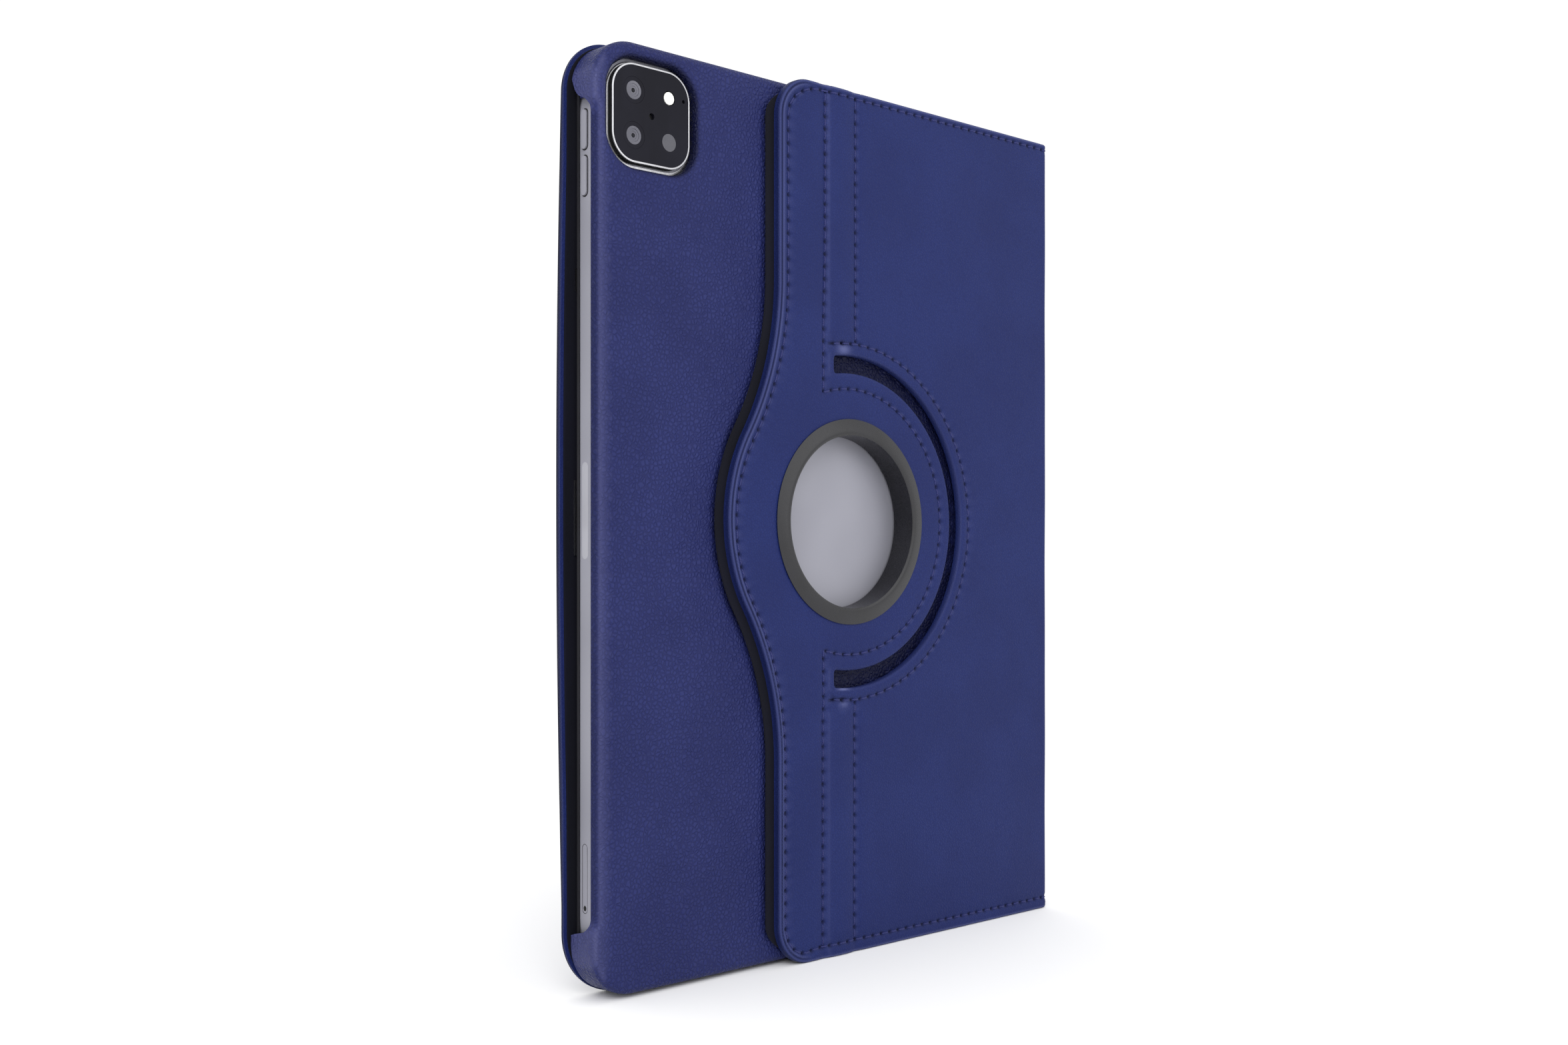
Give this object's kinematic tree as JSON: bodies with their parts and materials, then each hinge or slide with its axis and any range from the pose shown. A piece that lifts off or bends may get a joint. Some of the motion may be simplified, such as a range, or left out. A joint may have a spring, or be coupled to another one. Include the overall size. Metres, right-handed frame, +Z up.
{
  "type": "rotating folio tablet case",
  "caption": "Leather-look folio case with a swivel ring, a stitched flap and a stand fold, closed around a fitted tablet.",
  "frame": {"origin": "middle of the closed case's footprint, on the surface it stands on", "axes": "+Z up the long side, -Y out of the back with the ring, +X towards the spine"},
  "size_m": [0.1858, 0.0186, 0.2546],
  "materials": {
    "cover_leather": "fine grain, satin",
    "fold_leather": "fine grain, satin",
    "tray_leather": "pebble grain, satin",
    "fibreboard": "raw",
    "lining": "microfibre, matt",
    "felt": "felt, matt",
    "washer": "smooth",
    "shell_plastic": "matt",
    "ring_plastic": "satin",
    "tablet_metal": "bead blasted",
    "screen_glass": "gloss",
    "display": "dark",
    "battery": "foil wrap",
    "camera_metal": "polished edge",
    "camera_glass": "gloss",
    "lens": "coated",
    "flash": "diffuser",
    "sensor": "gloss",
    "charging_pad": "satin",
    "socket_metal": "satin",
    "magnet": "plated"
  },
  "bodies": {
    "back_cover": {"flap_skin": "cover_leather", "flap_board": "fibreboard", "flap_lining": "lining", "panel_skin": "cover_leather", "panel_board": "fibreboard", "panel_lining": "lining", "fold_strip": "fold_leather", "slip_washer": "washer"},
    "tray": {"tray_leather": "tray_leather", "tray_shell": "shell_plastic", "tray_felt": "felt", "ring_bezel": "ring_plastic", "ring_retainer": "ring_plastic", "tablet_housing": "tablet_metal", "tablet_glass": "screen_glass", "display_panel": "display", "battery_pack": "battery", "camera_bump": "camera_metal", "camera_glass": "camera_glass", "camera_lenses": "lens", "camera_flash": "flash", "depth_sensor": "sensor", "charging_pad": "charging_pad", "usb_socket": "socket_metal"},
    "volume_up": {"volume_up_button": "tablet_metal"},
    "volume_down": {"volume_down_button": "tablet_metal"},
    "power": {"power_button": "tablet_metal"},
    "sim_drawer": {"sim_tray": "tablet_metal"},
    "spine": {"spine_skin": "cover_leather", "spine_lining": "lining"},
    "front_cover": {"front_skin": "cover_leather", "front_board": "fibreboard", "front_lining": "lining", "stand_ridges": "lining", "cover_magnets": "magnet"}
  },
  "joints": [
    {"name": "spine_fold", "type": "hinge", "parent": "back_cover", "child": "spine", "pos_m": [0.09225, -0.00735, 0.1273], "axis": [0, 0, -1], "range_deg": [0, 180], "deforming": ["spine_skin", "spine_lining"]},
    {"name": "cover_fold", "type": "hinge", "parent": "spine", "child": "front_cover", "pos_m": [0.09225, 0.00855, 0.1273], "axis": [0, 0, -1], "range_deg": [0, 180]},
    {"name": "tray_swivel", "type": "hinge", "parent": "back_cover", "child": "tray", "pos_m": [0, -0.004, 0.1273], "axis": [0, 1, 0], "range_deg": [-180, 180]},
    {"name": "volume_up_press", "type": "slide", "parent": "tray", "child": "volume_up", "axis": [1, 0, 0], "range_m": [0, 0.0004], "stiffness_N_per_m": 400},
    {"name": "volume_down_press", "type": "slide", "parent": "tray", "child": "volume_down", "axis": [1, 0, 0], "range_m": [0, 0.0004], "stiffness_N_per_m": 400},
    {"name": "power_press", "type": "slide", "parent": "tray", "child": "power", "axis": [0, 0, -1], "range_m": [0, 0.0004], "stiffness_N_per_m": 400},
    {"name": "sim_tray_slide", "type": "slide", "parent": "tray", "child": "sim_drawer", "axis": [-1, 0, 0], "range_m": [0, 0.018]}
  ]
}
